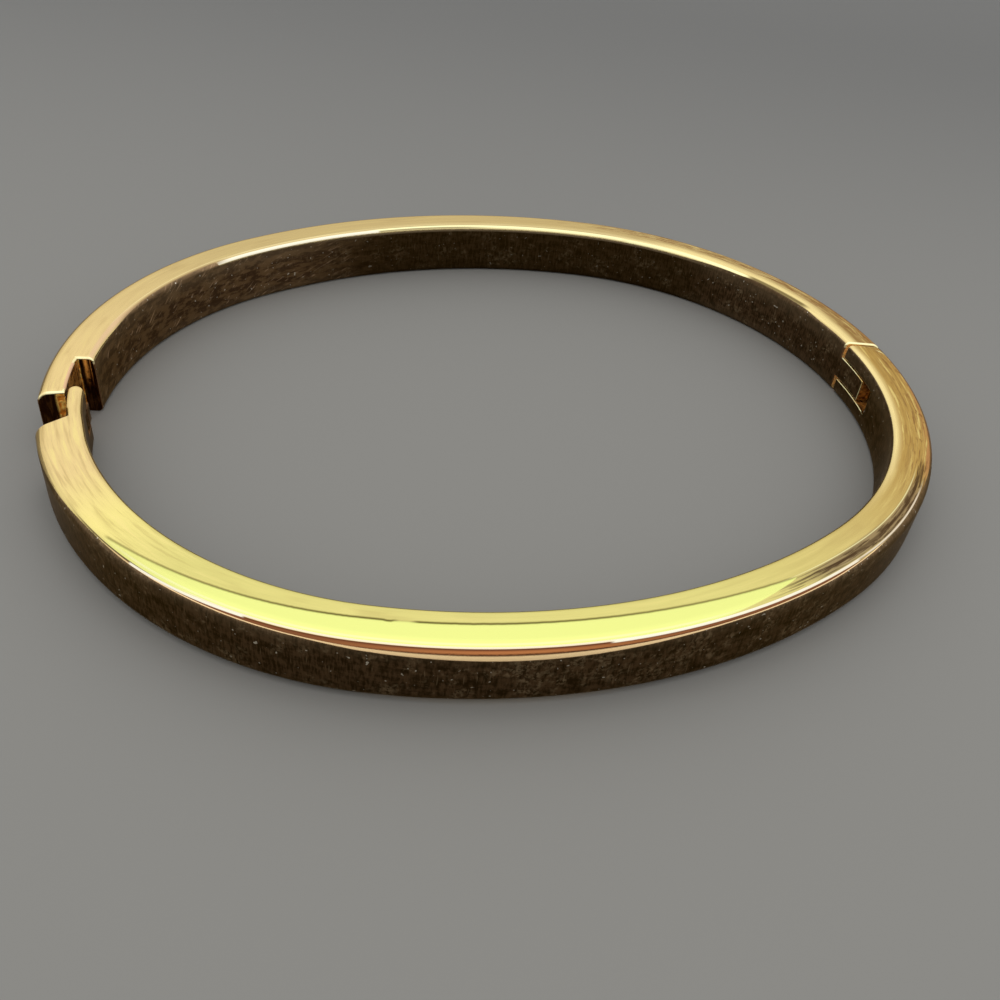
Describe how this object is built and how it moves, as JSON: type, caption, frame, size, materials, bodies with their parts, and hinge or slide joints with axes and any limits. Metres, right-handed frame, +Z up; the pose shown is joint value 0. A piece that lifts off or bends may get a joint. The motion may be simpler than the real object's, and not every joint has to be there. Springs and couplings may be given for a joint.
{
  "type": "hinged bangle",
  "caption": "Slim oval wrist bangle in polished gold with dark brown walls, opening on a pin hinge at one end and closing with a push-in tongue at the other.",
  "frame": {"origin": "middle of the wrist opening, on the surface the bangle lies on", "axes": "+X along the oval's long axis from the hinge to the clasp, +Y towards the back half, +Z up out of the surface it lies on"},
  "size_m": [0.0659, 0.056, 0.0046],
  "materials": {
    "gold": "polished pale gold on the flat faces and rounded edges, dark brown speckled finish on the upright inside and outside walls",
    "pin_steel": "plain drawn wire"
  },
  "bodies": {
    "back": {"back_half": "gold"},
    "front": {"front_half": "gold", "hinge_pin": "pin_steel"}
  },
  "joints": [
    {"name": "hinge", "type": "hinge", "parent": "back", "child": "front", "pos_m": [-0.03044, 0.00175, 0.0023], "axis": [0, 0, -1], "range_deg": [0, 50]}
  ]
}
